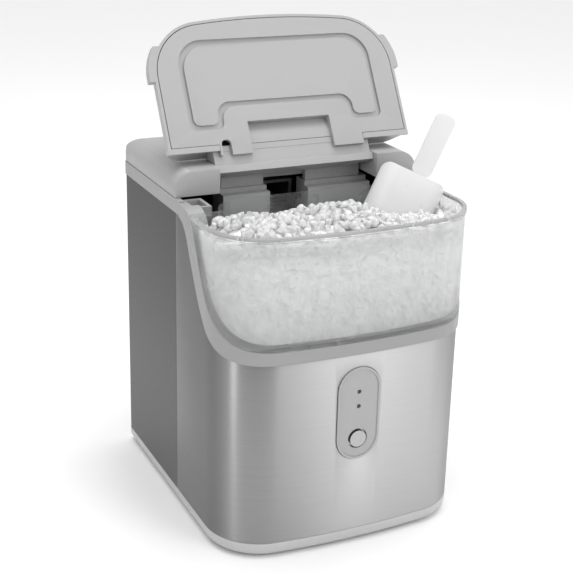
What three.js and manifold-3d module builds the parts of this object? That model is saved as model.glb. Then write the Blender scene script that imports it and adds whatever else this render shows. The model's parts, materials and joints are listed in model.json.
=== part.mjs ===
// Countertop nugget ice maker: cabinet, hinged lid, lift-out ice bin and the machine inside.
// Millimetres, +Z up, +X to the right seen from the front, the front faces -Y.
// The origin is on the standing surface, under the middle of the whole object.
import * as THREE from "three";
import * as BufferGeometryUtils from "three/addons/utils/BufferGeometryUtils.js";
import Module from "manifold-3d";

const wasm = await Module();
wasm.setup();

// Driving dimensions --------------------------------------------------------
const HALF_WIDTH = 117.5;
const FRONT_Y = -133;          // middle of the bowed front face
const REAR_Y = 134;
const FRONT_CORNER = 50;       // plan radius of the front corners
const FRONT_BOW = 3.6;         // how far the front bulges past the corner arcs
const REAR_CORNER = 10;
const SEAM_Y = -9.5;           // steel wrap meets rear shell; lid meets top cover
const FLOOR_Z = 3;             // underside of the base tray
const BASE_Z = 15;             // base tray meets the steel
const SIDE_Z = 280;            // top of the side walls
const COVER_Z = 292.5;         // top cover and closed lid start here
const TOP_Z = 314.5;
const CROWN = 18;              // edge rounding of cover and lid
const GAP = 0.3;
const STEEL = 1.2;
const SHELL = 2;
const COVER_WALL = 2.5;

const HINGE = { y: 7.5, z: 305, pinRadius: 3 };
const LID_OPEN_DEG = 120.4;    // from closed to leaning on its stop
const LID_SWEEP = 19.9;        // the lid's rear face keeps this far from the hinge line
const TONGUE_HALF = 76;
const NOTCH_Y = 26;            // rear wall of the notch that the tongue swings in

const BIN = { top: 288, floor: 160, wall: 2.5, halfWidth: 92, front: -116, rear: -14, lip: 2 };
const SCOOP = { width: 59, length: 64, depth: 21, fillet: 18, wall: 1.8 };
const TANK = { floor: 60, top: 184, wall: 2.2 };

const PANEL = { halfWidth: 20, low: 83, high: 168, button: 102, buttonRadius: 7.5 };
const LAMP_Z = [131.9, 145.3];

const AUGER = { x: 0, y: 62, shaft: 7, flight: 17.5, pitch: 30, low: 112, high: 232 };
const GEAR = { module: 1.5, teeth: 40, pinionTeeth: 10, low: 20, high: 30 };
const COMPRESSOR = { x: -74, y: 84, radius: 38, low: 30, high: 150 };
const FAN = { x: 75, z: 95, radius: 34, low: 110, high: 126 };

// Finishes --------------------------------------------------------------------
const finish = (color, roughness, metalness = 0, more = {}) =>
  new THREE.MeshStandardMaterial({ color, roughness, metalness, ...more });
const LOOK = {
  lightPlastic: () => finish(0xc4c4c4, 0.5),
  steel: () => finish(0xb4b4b4, 0.32, 0.9),
  darkPanel: () => finish(0x626262, 0.55, 0.2),
  clear: () => finish(0xe2e5e6, 0.2, 0, { transparent: true, opacity: 0.4 }),
  white: () => finish(0xf2f2f2, 0.35),
  rubber: () => finish(0x2a2a2a, 0.9),
  greyPlastic: () => finish(0x8a8a8a, 0.6),
  darkPlastic: () => finish(0x3a3a3a, 0.6),
  black: () => finish(0x202020, 0.5, 0.3),
  foam: () => finish(0x1f1f1f, 0.95),
  copper: () => finish(0xb87345, 0.35, 0.9),
  aluminium: () => finish(0xbfc2c4, 0.4, 0.9),
  board: () => finish(0x2c6b3c, 0.6),
  lens: () => finish(0x303030, 0.15),
};

// Solids from three.js geometry -------------------------------------------------
function solid(geometry) {
  const bare = geometry.index ? geometry.toNonIndexed() : geometry.clone();
  bare.deleteAttribute("normal");
  bare.deleteAttribute("uv");
  const merged = BufferGeometryUtils.mergeVertices(bare, 1e-4);
  const mesh = new wasm.Mesh({
    numProp: 3,
    vertProperties: Float32Array.from(merged.attributes.position.array),
    triVerts: Uint32Array.from(merged.index.array),
  });
  return new wasm.Manifold(mesh);
}

function geometryOf(body) {
  const data = body.getMesh();
  const geometry = new THREE.BufferGeometry();
  geometry.setAttribute("position", new THREE.BufferAttribute(new Float32Array(data.vertProperties), 3));
  geometry.setIndex(new THREE.BufferAttribute(new Uint32Array(data.triVerts), 1));
  const flat = geometry.toNonIndexed();
  flat.computeVertexNormals();
  return flat;
}

const join = (...bodies) => bodies.reduce((all, body) => all.add(body));
const cut = (body, ...tools) => tools.reduce((rest, tool) => rest.subtract(tool), body);

function box(x0, x1, y0, y1, z0, z1) {
  const geometry = new THREE.BoxGeometry(x1 - x0, y1 - y0, z1 - z0);
  geometry.translate((x0 + x1) / 2, (y0 + y1) / 2, (z0 + z1) / 2);
  return solid(geometry);
}

// A cylinder from one point to another along "x", "y" or "z".
function rod(axis, [x, y, z], radius, from, to, segments = 24) {
  const geometry = new THREE.CylinderGeometry(radius, radius, to - from, segments);
  if (axis === "z") geometry.rotateX(Math.PI / 2);
  if (axis === "x") geometry.rotateZ(Math.PI / 2);
  const middle = (from + to) / 2;
  geometry.translate(axis === "x" ? middle : x, axis === "y" ? middle : y, axis === "z" ? middle : z);
  return solid(geometry);
}

// A turned body standing on +Z at (x, y); the profile lists [radius, z] from axis to axis.
function turned(x, y, profile, segments = 28) {
  const points = profile.map(([r, z]) => new THREE.Vector2(r, z));
  const geometry = new THREE.LatheGeometry(points, segments);
  geometry.rotateX(Math.PI / 2);
  geometry.translate(x, y, 0);
  return solid(geometry);
}

const shapeOf = (points) => new THREE.Shape(points.map(([a, b]) => new THREE.Vector2(a, b)));

// A plan outline raised from z0 to z1.
function prism(points, z0, z1) {
  const geometry = new THREE.ExtrudeGeometry(shapeOf(points), { depth: z1 - z0, bevelEnabled: false });
  geometry.translate(0, 0, z0);
  return solid(geometry);
}

// An outline in (y, z) carried from x0 to x1.
function prismX(points, x0, x1) {
  const geometry = new THREE.ExtrudeGeometry(shapeOf(points), { depth: x1 - x0, bevelEnabled: false });
  geometry.applyMatrix4(new THREE.Matrix4().set(0, 0, 1, x0, 1, 0, 0, 0, 0, 1, 0, 0, 0, 0, 0, 1));
  return solid(geometry);
}

// An outline in (x, z) carried from y0 to y1.
function prismY(points, y0, y1) {
  const geometry = new THREE.ExtrudeGeometry(shapeOf(points), { depth: y1 - y0, bevelEnabled: false });
  geometry.rotateX(Math.PI / 2);
  geometry.translate(0, y1, 0);
  return solid(geometry);
}

function tube(points, radius, steps, sides = 6) {
  const path = new THREE.CatmullRomCurve3(points.map((p) => new THREE.Vector3(...p)), false, "centripetal");
  const section = new THREE.Shape();
  for (let i = 0; i < sides; i++) {
    const turn = (2 * Math.PI * i) / sides;
    const place = [radius * Math.cos(turn), radius * Math.sin(turn)];
    if (i === 0) section.moveTo(...place);
    else section.lineTo(...place);
  }
  section.closePath();
  return solid(new THREE.ExtrudeGeometry(section, { steps, extrudePath: path, bevelEnabled: false }));
}

// Plan outline of the cabinet, grown by `grow`: straight sides, front corner arcs and a bowed
// front, closed by a rear wall at rearY with small rear corners.
function cabinetOutline(grow, { cornerSteps = 8, frontSteps = 10, rearSteps = 3, rearY = REAR_Y } = {}) {
  const half = HALF_WIDTH - FRONT_CORNER;
  const frontRadius = (half * half + FRONT_BOW * FRONT_BOW) / (2 * FRONT_BOW) + FRONT_CORNER;
  const cornerY = FRONT_Y + FRONT_CORNER + FRONT_BOW;
  const spread = Math.asin(half / (frontRadius - FRONT_CORNER));
  const points = [];
  const arc = (cx, cy, r, from, to, steps) => {
    for (let i = 0; i <= steps; i++) {
      const turn = from + ((to - from) * i) / steps;
      points.push([cx + r * Math.cos(turn), cy + r * Math.sin(turn)]);
    }
  };
  const down = -Math.PI / 2;
  const rearCorner = rearY === REAR_Y ? REAR_CORNER : 2 * REAR_CORNER + CROWN;
  const rear = Math.max(rearCorner + grow, 2);
  const rearSide = HALF_WIDTH - rearCorner;
  const rearBack = rearY - rearCorner;
  arc(-half, cornerY, FRONT_CORNER + grow, -Math.PI, down - spread, cornerSteps);
  const bigY = FRONT_Y + frontRadius;
  for (let i = 1; i < frontSteps; i++) {
    const turn = down - spread + (2 * spread * i) / frontSteps;
    points.push([(frontRadius + grow) * Math.cos(turn), bigY + (frontRadius + grow) * Math.sin(turn)]);
  }
  arc(half, cornerY, FRONT_CORNER + grow, down + spread, 0, cornerSteps);
  const inset = rearCorner + grow - rear;
  arc(rearSide + inset, rearBack + inset, rear, 0, Math.PI / 2, rearSteps);
  arc(-rearSide - inset, rearBack + inset, rear, Math.PI / 2, Math.PI, rearSteps);
  return points;
}

// Rounded rectangle in plan or elevation.
function roundedRectangle(x0, x1, y0, y1, radius, steps = 5) {
  const points = [];
  const corners = [[x1 - radius, y0 + radius, -90], [x1 - radius, y1 - radius, 0],
    [x0 + radius, y1 - radius, 90], [x0 + radius, y0 + radius, 180]];
  for (const [cx, cy, start] of corners) {
    for (let i = 0; i <= steps; i++) {
      const turn = THREE.MathUtils.degToRad(start + (90 * i) / steps);
      points.push([cx + radius * Math.cos(turn), cy + radius * Math.sin(turn)]);
    }
  }
  return points;
}

// The two S-shaped side curves, in (y, z), from the top rear down to the front.
// "outer" is where the steel stops, "inner" is where the bin starts.
function sideCurve(kind, steps = 7) {
  const spans = kind === "outer"
    ? [[[-14, SIDE_Z], [-34, SIDE_Z], [-38, 268], [-47, 250]],
      [[-47, 250], [-60, 229], [-80, 180], [-126, 180]]]
    : [[[-30, 291], [-46, 291], [-52, 282], [-61, 262]], [[-61, 262], [-71, 244], [-92, 192], [-132, 191]]];
  const points = [];
  for (const [index, span] of spans.entries()) {
    const curve = new THREE.CubicBezierCurve(...span.map(([a, b]) => new THREE.Vector2(a, b)));
    const samples = curve.getPoints(steps);
    points.push(...samples.slice(index === 0 ? 0 : 1).map((p) => [p.x, p.y]));
  }
  return points;
}

// The curve moved sideways by `shift`: positive is up and forward, towards the bin.
function shifted(points, shift) {
  return points.map(([y, z], i) => {
    const [ya, za] = points[Math.max(i - 1, 0)];
    const [yb, zb] = points[Math.min(i + 1, points.length - 1)];
    const length = Math.hypot(yb - ya, zb - za);
    return [y + (shift * (zb - za)) / length, z - (shift * (yb - ya)) / length];
  });
}

// Everything above and in front of a side curve, across the whole width.
function spaceAbove(kind, shift) {
  const curve = shifted(sideCurve(kind), shift);
  const [, endZ] = curve[curve.length - 1];
  const [startY, startZ] = curve[0];
  const outline = [[5, startZ], [startY, startZ], ...curve.slice(1), [-160, endZ], [-160, 360], [5, 360]];
  return prismX(outline.reverse(), -150, 150);
}

// The crown: the rounded top of cabinet and lid, cut level at z0. Front and sides are rounded
// along the plan outline, and the rear edge by a profile seen from the side.
function crown(inset, z0, top) {
  const rounding = CROWN - inset;
  const geometry = new THREE.ExtrudeGeometry(shapeOf(cabinetOutline(0, { rearY: 190 })), {
    depth: 30, bevelEnabled: true, bevelThickness: rounding, bevelSize: rounding,
    bevelOffset: -rounding - inset, bevelSegments: 5,
  });
  geometry.translate(0, 0, top - rounding - 30);
  const rear = REAR_Y - inset;
  const profile = [[-150, z0], [rear, z0]];
  for (let i = 0; i <= 5; i++) {
    const turn = (Math.PI / 2) * (i / 5);
    profile.push([rear - rounding + rounding * Math.cos(turn), top - rounding + rounding * Math.sin(turn)]);
  }
  profile.push([-150, top]);
  return solid(geometry).intersect(prismX(profile, -130, 130))
    .intersect(prism(cabinetOutline(-inset), 200, 400));
}

const object = new THREE.Group();
object.name = "ice_maker";

function add(name, body, material, parent = object) {
  const mesh = new THREE.Mesh(geometryOf(body), material);
  mesh.name = name;
  parent.add(mesh);
  return mesh;
}

// Base and cabinet ------------------------------------------------------------
function baseTray() {
  const flare = new THREE.ExtrudeGeometry(shapeOf(cabinetOutline(0)), {
    depth: 30, bevelEnabled: true, bevelThickness: 9, bevelSize: 5, bevelOffset: -5, bevelSegments: 3,
  });
  flare.translate(0, 0, FLOOR_Z + 9);
  const outside = cut(solid(flare), box(-200, 200, -200, 200, BASE_Z - 0.15, 100));
  return cut(outside, prism(cabinetOutline(-7), FLOOR_Z + 4, 40));
}

function foot(x, y) {
  return turned(x, y, [[0, 0], [8, 0], [9, 1], [9, FLOOR_Z - GAP], [0, FLOOR_Z - GAP]], 20);
}

function pillOutline(grow) {
  const r = PANEL.halfWidth + grow;
  return roundedRectangle(-r, r, PANEL.low - grow, PANEL.high + grow, r - 0.01, 6);
}

function frontWrap() {
  const wall = cut(prism(cabinetOutline(0), BASE_Z + GAP, SIDE_Z - GAP),
    prism(cabinetOutline(-STEEL), 0, 400));
  return cut(wall,
    box(-200, 200, SEAM_Y - GAP, 200, 0, 400),
    spaceAbove("outer", -GAP),
    prismY(pillOutline(GAP), -150, -110));
}

function rearShell() {
  let shell = cut(prism(cabinetOutline(0), BASE_Z + GAP, SIDE_Z - GAP),
    prism(cabinetOutline(-SHELL), 0, 400),
    box(-200, 200, -200, SEAM_Y, 0, 400));
  for (let row = 0; row < 10; row++) {
    const z = 60 + row * 9;
    shell = cut(shell, box(42, 108, 130, 140, z, z + 4));
    if (row < 8) shell = cut(shell, box(110, 120, 40, 84, z + 8, z + 12));
  }
  for (const [x, z] of REAR_SCREWS) shell = cut(shell, rod("y", [x, 0, z], 2, 120, 140, 12));
  return cut(shell,
    rod("y", [DRAIN.x, 0, DRAIN.z], DRAIN.radius + GAP, 120, 140, 20),
    box(INLET.x0 - GAP, INLET.x1 + GAP, 120, 140, INLET.z0 - GAP, INLET.z1 + GAP));
}

// Side trims, S-shaped rails and front band, with the inner lip that the bin rests on.
function bezelFrame() {
  const band = cut(prism(cabinetOutline(1.5), 170, COVER_Z - GAP), prism(cabinetOutline(-4), 0, 400));
  const rails = cut(band.intersect(spaceAbove("outer", 0)), spaceAbove("inner", 0),
    box(-200, 200, -20, 200, 0, 400));
  const trim = cut(prism(cabinetOutline(0.6), SIDE_Z, COVER_Z - GAP), prism(cabinetOutline(-4), 0, 400),
    box(-200, 200, -200, -20.01, 0, 400));
  const lipRing = cut(prism(cabinetOutline(-3.9), 150, COVER_Z - GAP), prism(cabinetOutline(-13), 0, 400));
  const lip = cut(lipRing.intersect(spaceAbove("inner", -4)), spaceAbove("inner", 0),
    box(-200, 200, -30, 200, 0, 400));
  const decks = [-1, 1].map((side) => {
    const span = (near, far) => (side < 0 ? [-far, -near] : [near, far]);
    const plate = box(...span(BIN.halfWidth + 3, 113.7), -36, SEAM_Y - 0.5, 282, COVER_Z - 2);
    return cut(plate, box(...span(BIN.halfWidth + 6, 110), -33, -14, 285, 400));
  });
  return join(rails, trim, lip, ...decks);
}

// Top cover with its two shoulders, hollow underneath, notched for the lid's tongue.
function topCover() {
  const notch = box(-TONGUE_HALF - 0.5, TONGUE_HALF + 0.5, -50, NOTCH_Y, 200, 400);
  const hollow = cut(crown(COVER_WALL, COVER_Z - 5, TOP_Z - COVER_WALL),
    box(-TONGUE_HALF - 3, TONGUE_HALF + 3, -50, NOTCH_Y + COVER_WALL, 200, 400),
    box(-200, 200, -200, CAP_Y + COVER_WALL, 200, 400));
  return cut(crown(0, COVER_Z, TOP_Z), box(-200, 200, -200, CAP_Y, 200, 400), notch, hollow,
    rod("x", [0, HINGE.y, HINGE.z], HINGE.pinRadius + GAP, -90, 90, 16));
}

const CAP_Y = -7.6;
function hingeCap(side) {
  const slice = crown(0, COVER_Z, TOP_Z).intersect(box(-200, 200, SEAM_Y, CAP_Y - GAP, 200, 400));
  const inner = TONGUE_HALF + 0.5;
  const beyond = side < 0 ? box(-200, -inner, -50, 50, 200, 400) : box(inner, 200, -50, 50, 200, 400);
  return slice.intersect(beyond);
}

// The lid, built closed; its group then swings it open about the hinge. ----------
function lidShell() {
  const rearEdge = SEAM_Y - 0.5;
  const plate = cut(crown(0.4, COVER_Z + GAP, TOP_Z), box(-200, 200, rearEdge, 200, 200, 400));
  const hollow = cut(crown(0.4 + COVER_WALL, COVER_Z - 5, TOP_Z - COVER_WALL),
    box(-200, 200, rearEdge - 2 * COVER_WALL, 200, 200, 400));
  const tongueSide = [[rearEdge - 3, 297], [2, 297], [4, COVER_Z + 0.5], [10, COVER_Z + 0.5],
    [10, 309], [7.5, 313], [4, TOP_Z], [rearEdge - 3, TOP_Z]];
  const tongue = prismX(tongueSide, -TONGUE_HALF, TONGUE_HALF);
  const tabs = [-1, 1].map((side) => {
    const ring = cut(prism(cabinetOutline(4.5), COVER_Z + GAP, COVER_Z + 8),
      prism(cabinetOutline(-1.5), 0, 400));
    const [x0, x1] = side < 0 ? [-150, -90] : [90, 150];
    return ring.intersect(box(x0, x1, -108, -76, 200, 400));
  });
  const linerSeat = box(-70 - GAP, 70 + GAP, SEAM_Y - 12, SEAM_Y + 4 + GAP, 200, COVER_Z + GAP + 3.9);
  return cut(join(cut(plate, hollow), tongue, ...tabs), linerSeat,
    rod("x", [0, HINGE.y, HINGE.z], LID_SWEEP, -140, -TONGUE_HALF, 64),
    rod("x", [0, HINGE.y, HINGE.z], LID_SWEEP, TONGUE_HALF, 140, 64),
    rod("x", [0, HINGE.y, HINGE.z], HINGE.pinRadius + GAP, -80, -66, 16),
    rod("x", [0, HINGE.y, HINGE.z], HINGE.pinRadius + GAP, 66, 80, 16));
}

function lidLiner() {
  const face = COVER_Z + GAP;
  const panel = cut(prism(cabinetOutline(-3.6), face, face + 3.6),
    box(-200, 200, SEAM_Y - 6, 200, 200, 400));
  const bridge = box(-70, 70, SEAM_Y - 8, SEAM_Y + 4, face, face + 3.6);
  const backing = box(-44, 44, SEAM_Y - 29, SEAM_Y - 6, face + 3, face + 10);
  const grip = prismX([[SEAM_Y - 25, 200], [20, 200], [20, face + 3.9], [SEAM_Y - 13, face + 3.9],
    [SEAM_Y - 25, face + 8]], -40, 40);
  const slot = prism(roundedRectangle(-68, -59, SEAM_Y - 10, 20, 4), 200, 400);
  const groove = cut(prism(ridgeOutline(2.2), face - 1, face + 2), prism(ridgeOutline(-2.2), 0, 400));
  return cut(join(panel, bridge, backing), grip, slot, groove);
}

// U-shaped embossed line under the lid, grown sideways by `grow`.
function ridgeOutline(grow) {
  const rear = SEAM_Y - 22 + grow;
  const front = SEAM_Y - 100 - grow;
  const mouth = SEAM_Y - 42 + grow;
  const side = 91.5 + grow;
  const legHalf = 64 - grow;
  const points = [];
  const turnAt = (cx, cy, r, from, to, steps = 5) => {
    for (let i = 0; i <= steps; i++) {
      const turn = THREE.MathUtils.degToRad(from + ((to - from) * i) / steps);
      points.push([cx + r * Math.cos(turn), cy + r * Math.sin(turn)]);
    }
  };
  turnAt(-side + 24, front + 24, 24, 180, 270);
  turnAt(side - 24, front + 24, 24, -90, 0);
  turnAt(side - 6, rear - 6, 6, 0, 90);
  turnAt(legHalf + 6, rear - 6, 6, 90, 180);
  turnAt(legHalf - 12, mouth + 12, 12 - 0.01, 0, -90);
  turnAt(-legHalf + 12, mouth + 12, 12 - 0.01, -90, -180);
  turnAt(-legHalf - 6, rear - 6, 6, 0, 90);
  turnAt(-side + 6, rear - 6, 6, 90, 180);
  return points;
}

function hingePin(side) {
  const [from, to] = side < 0 ? [-83, -67] : [67, 83];
  return rod("x", [0, HINGE.y, HINGE.z], HINGE.pinRadius, from, to, 16);
}

// Ice bin and water tank ----------------------------------------------------------
const bayOutline = (grow) =>
  roundedRectangle(-BIN.halfWidth - grow, BIN.halfWidth + grow, BIN.front - grow, BIN.rear + grow,
    34 + grow, 5);

function iceBin() {
  const shoulder = -GAP - 0.1;
  const wings = (grow, lift) => cut(prism(cabinetOutline(grow), 180, BIN.top),
    box(-200, 200, BIN.rear - lift, 200, 0, 400))
    .intersect(spaceAbove("inner", 0.4 + lift));
  const outside = join(wings(1, 0), prism(bayOutline(shoulder), BIN.floor, BIN.top));
  const rim = cut(prism(cabinetOutline(BIN.lip), BIN.top - 4, BIN.top), box(-200, 200, BIN.rear, 200, 0, 400))
    .intersect(spaceAbove("inner", 0.4));
  const hollow = join(cut(prism(cabinetOutline(1 - BIN.wall), 180, 400), box(-200, 200, -50, 200, 0, 400))
    .intersect(spaceAbove("inner", 0.4 + BIN.wall)),
    prism(bayOutline(shoulder - BIN.wall), BIN.floor + BIN.wall, 400));
  return cut(join(outside, rim), hollow);
}

function waterTank() {
  const outside = prism(bayOutline(TANK.wall + 1), TANK.floor, TANK.top);
  const tub = cut(outside, prism(bayOutline(1), TANK.floor + TANK.wall, 400),
    rod("y", [PUMP.x, 0, 70], 3, -20, 0, 10), rod("y", [48, 0, 66], 3, -20, 0, 10));
  return join(tub, floatStem());
}

const FLOAT = { x: -70, y: -40, low: 66 };
function floatStem() {
  return turned(FLOAT.x, FLOAT.y, [[0, TANK.floor + 1], [9, TANK.floor + 1], [9, 65],
    [3, 65], [3, 124], [7, 124], [7, 126], [0, 126]], 16);
}
function floatRing() {
  return turned(FLOAT.x, FLOAT.y, [[3.4, FLOAT.low], [13, FLOAT.low], [14, FLOAT.low + 2],
    [14, FLOAT.low + 14],
    [13, FLOAT.low + 16], [3.4, FLOAT.low + 16], [3.4, FLOAT.low]], 20);
}

// Control panel ----------------------------------------------------------------------
function controlPanel() {
  const plate = prismY(pillOutline(0), FRONT_Y - 0.8, FRONT_Y + 2.6);
  const dish = prismY(pillOutline(-2), FRONT_Y - 2, FRONT_Y);
  return cut(plate, dish,
    ...LAMP_Z.map((z) => rod("y", [0, 0, z], 1.9, FRONT_Y - 5, FRONT_Y + 8, 14)),
    rod("y", [0, 0, PANEL.button], PANEL.buttonRadius + 1.6, FRONT_Y - 5, FRONT_Y + 8, 28));
}
const powerButton = () => join(
  rod("y", [0, 0, PANEL.button], PANEL.buttonRadius, FRONT_Y - 1.2, FRONT_Y + 3.2, 28),
  rod("y", [0, 0, PANEL.button], PANEL.buttonRadius + 3, FRONT_Y + 3.2, FRONT_Y + 4.6, 28));
const indicatorLens = (z) => rod("y", [0, 0, z], 1.6, FRONT_Y - 0.3, FRONT_Y + 5, 12);
const buttonSwitch = () => box(-3, 3, FRONT_Y + 6.3, FRONT_Y + 10.3, PANEL.button - 3, PANEL.button + 3);
const controlBoard = () => join(buttonSwitch(), box(-16, 16, FRONT_Y + 10, FRONT_Y + 11.6,
  PANEL.low + 3, PANEL.high - 3),
  box(-5, 5, FRONT_Y + 8.6, FRONT_Y + 10.3, 112, 122));

// Ice outlet -------------------------------------------------------------------------
function outletHousing() {
  const block = (x0, x1) => join(
    box(x0, x1, 9, 34, 250, 284),
    box(x0, x1, 17, 34, 283, 288),
    box(x0 + 2, Math.min(x1 - 2, 74), 20, NOTCH_Y - GAP, 287, 299));
  const bridge = box(-66, 78, 31, 34, 244, 256);
  return join(block(-66, -21), block(17, 80), bridge);
}
const irSensor = (side) => rod("x", [0, 25.5, 272], 3.5, side < 0 ? -20.7 : 13.7,
  side < 0 ? -17.7 : 16.7, 14);
function iceChute() {
  const outside = box(-17, 13, 36, 96, 262, 286);
  return cut(outside, box(-14, 10, 20, 93, 264.5, 283.5), rod("z", [AUGER.x, AUGER.y, 0], 9, 250, 270, 20));
}

// Ice making: evaporator, auger and drive ------------------------------------------------
function spiral() {
  const section = new THREE.Shape();
  const finHalf = THREE.MathUtils.degToRad(16);
  const steps = 7;
  for (let i = 0; i <= steps; i++) {
    const turn = finHalf + ((2 * Math.PI - 2 * finHalf) * i) / steps;
    const place = [AUGER.shaft * Math.cos(turn), AUGER.shaft * Math.sin(turn)];
    if (i === 0) section.moveTo(...place);
    else section.lineTo(...place);
  }
  const tip = finHalf * 0.6;
  section.lineTo(AUGER.flight * Math.cos(tip), -AUGER.flight * Math.sin(tip));
  section.lineTo(AUGER.flight * Math.cos(tip), AUGER.flight * Math.sin(tip));
  section.closePath();
  const height = AUGER.high - AUGER.low;
  const geometry = new THREE.ExtrudeGeometry(section, { depth: height, steps: 32, bevelEnabled: false });
  const place = geometry.attributes.position;
  for (let i = 0; i < place.count; i++) {
    const turn = (2 * Math.PI * place.getZ(i)) / AUGER.pitch;
    const [x, y] = [place.getX(i), place.getY(i)];
    place.setX(i, x * Math.cos(turn) - y * Math.sin(turn));
    place.setY(i, x * Math.sin(turn) + y * Math.cos(turn));
  }
  geometry.translate(AUGER.x, AUGER.y, AUGER.low);
  return solid(geometry);
}
const auger = () => join(spiral(),
  rod("z", [AUGER.x, AUGER.y, 0], 6, GEAR.high + GAP, AUGER.low + 1, 16),
  rod("z", [AUGER.x, AUGER.y, 0], 6, AUGER.high - 1, 260, 16));

function gear(x, y, teeth, bore, low, high, phase) {
  const pitchRadius = (GEAR.module * teeth) / 2;
  const tip = pitchRadius + 0.85 * GEAR.module;
  const root = pitchRadius - 1.15 * GEAR.module;
  const points = [];
  for (let i = 0; i < teeth; i++) {
    for (const [share, radius] of [[-0.32, root], [-0.11, tip], [0.11, tip], [0.32, root]]) {
      const turn = phase + (2 * Math.PI * (i + share)) / teeth;
      points.push([x + radius * Math.cos(turn), y + radius * Math.sin(turn)]);
    }
  }
  const body = prism(points, low, high);
  return bore ? cut(body, rod("z", [x, y, 0], bore, low - 5, high + 5, 16)) : body;
}
const pinionY = AUGER.y - (GEAR.module * (GEAR.teeth + GEAR.pinionTeeth)) / 2;
const driveGear = () => gear(AUGER.x, AUGER.y, GEAR.teeth, 0, GEAR.low, GEAR.high, -Math.PI / 2);
const motorPinion = () => join(
  gear(AUGER.x, pinionY, GEAR.pinionTeeth, 0, GEAR.low, GEAR.high, Math.PI / 2 + Math.PI / GEAR.pinionTeeth),
  rod("z", [AUGER.x, pinionY, 0], 2.5, GEAR.high - 1, 52, 12));

const gearboxOutline = (grow) => roundedRectangle(-33 - grow, 33 + grow, 13 - grow, 95 + grow, 14 + grow, 4);
function gearboxHousing() {
  return cut(prism(gearboxOutline(2), 12, 42), prism(gearboxOutline(0), 15, 60));
}
function gearboxLid() {
  return cut(prism(gearboxOutline(2), 42 + GAP, 45), rod("z", [AUGER.x, AUGER.y, 0], 7, 30, 60, 20),
    rod("z", [AUGER.x, pinionY, 0], 4, 30, 60, 14));
}
function gearMotor() {
  const can = turned(AUGER.x, pinionY, [[0, 56], [4, 56], [4, 46], [14, 46], [16, 48], [16, 96],
    [13, 99], [0, 99]], 24);
  return can;
}
function bearingHousing() {
  return turned(AUGER.x, AUGER.y, [[6.5, 46], [20, 46], [20, 50], [15, 54], [15, 104], [20, 108], [20, 111],
    [8, 111], [6.5, 108], [6.5, 46]], 24);
}
const evaporatorCylinder = () => turned(AUGER.x, AUGER.y,
  [[18.2, 111.6], [21, 111.6], [21, 235.6], [18.2, 235.6], [18.2, 111.6]], 28);
const evaporatorInsulation = () => turned(AUGER.x, AUGER.y,
  [[21.4, 114], [28, 114], [28, 230], [21.4, 230], [21.4, 114]], 28);
function extruderHead() {
  let head = turned(AUGER.x, AUGER.y, [[6.5, 236], [23, 236], [23, 240], [19, 246], [19, 261.4], [6.5, 261.4],
    [6.5, 236]], 24);
  for (let i = 0; i < 6; i++) {
    const turn = (Math.PI * i) / 3;
    const place = [AUGER.x + 12.8 * Math.cos(turn), AUGER.y + 12.8 * Math.sin(turn), 0];
    head = cut(head, rod("z", place, 4.4, 230, 270, 10));
  }
  return head;
}

// Refrigeration ------------------------------------------------------------------------
function compressor() {
  const { x, y, radius, low, high } = COMPRESSOR;
  return turned(x, y, [[0, low], [radius - 10, low], [radius - 2, low + 7], [radius, low + 16],
    [radius, low + 58],
    [radius + 1.5, low + 60], [radius, low + 62], [radius, high - 20], [radius - 5, high - 8],
      [radius - 16, high - 1],
    [0, high]], 26);
}
const compressorPlate = () => cut(
  prism(roundedRectangle(-112, -36, 46, 122, 12, 4), 26, 29.6),
  ...BUSHES.map(([x, y]) => rod("z", [x, y, 0], 3.6, 10, 60, 12)));
const BUSHES = [[-100, 56], [-47, 56], [-74, 114]];
const compressorBush = (x, y) => turned(x, y, [[0, FLOOR_Z + 4 + GAP], [8, FLOOR_Z + 4 + GAP],
  [8, 25.7], [3.2, 25.7],
  [3.2, 28.6], [0, 28.6]], 16);

function condenser() {
  const fins = 16;
  const pitch = 70 / fins;
  const points = [[110, 108], [40, 108]];
  for (let i = 0; i < fins; i++) {
    const x = 40 + i * pitch;
    points.push([x, 88], [x + 1.6, 88], [x + 1.6, 104]);
    if (i < fins - 1) points.push([x + pitch, 104]);
  }
  points.push([110, 104]);
  return prism(points.reverse(), 24, 165);
}
function fanShroud() {
  const [x, z] = [FAN.x, FAN.z];
  const frame = prismY(roundedRectangle(x - 38, x + 37, z - 38, z + 38, 6, 3), FAN.low - 1, FAN.high + 3);
  const spider = join(box(x - 36, x + 36, FAN.high, FAN.high + 3, z - 2.5, z + 2.5),
    box(x - 2.5, x + 2.5, FAN.high, FAN.high + 3, z - 36, z + 36),
    rod("y", [x, 0, z], 11, FAN.high, FAN.high + 3, 16));
  return join(cut(frame, rod("y", [x, 0, z], FAN.radius + 1.2, 90, 140, 32)), spider);
}
function fanRotor() {
  const [x, z] = [FAN.x, FAN.z];
  let rotor = rod("y", [x, 0, z], 11, FAN.low + 1, FAN.high - 1, 20);
  for (let i = 0; i < 7; i++) {
    const blade = new THREE.BoxGeometry(FAN.radius - 9, 1.6, 15);
    blade.rotateX(THREE.MathUtils.degToRad(38));
    blade.translate((FAN.radius + 9) / 2, 0, 0);
    blade.rotateY((2 * Math.PI * i) / 7);
    blade.translate(x, (FAN.low + FAN.high) / 2, z);
    rotor = join(rotor, solid(blade));
  }
  return rotor;
}
const dischargeLine = () => tube([[-74, 84, COMPRESSOR.high + GAP], [-74, 84, 176], [-66, 98, 194],
  [-36, 114, 200],
  [20, 116, 200], [62, 112, 194], [75, 100, 182], [75, 98, 165.5]], 3, 26);
const suctionLine = () => tube([[-28.4, 62, 214], [-36, 62, 214], [-44, 63, 213], [-54, 66, 208],
  [-62, 76, 180], [-64, 80, 160], [-64, 80, 150.6]], 4, 20);

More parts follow.
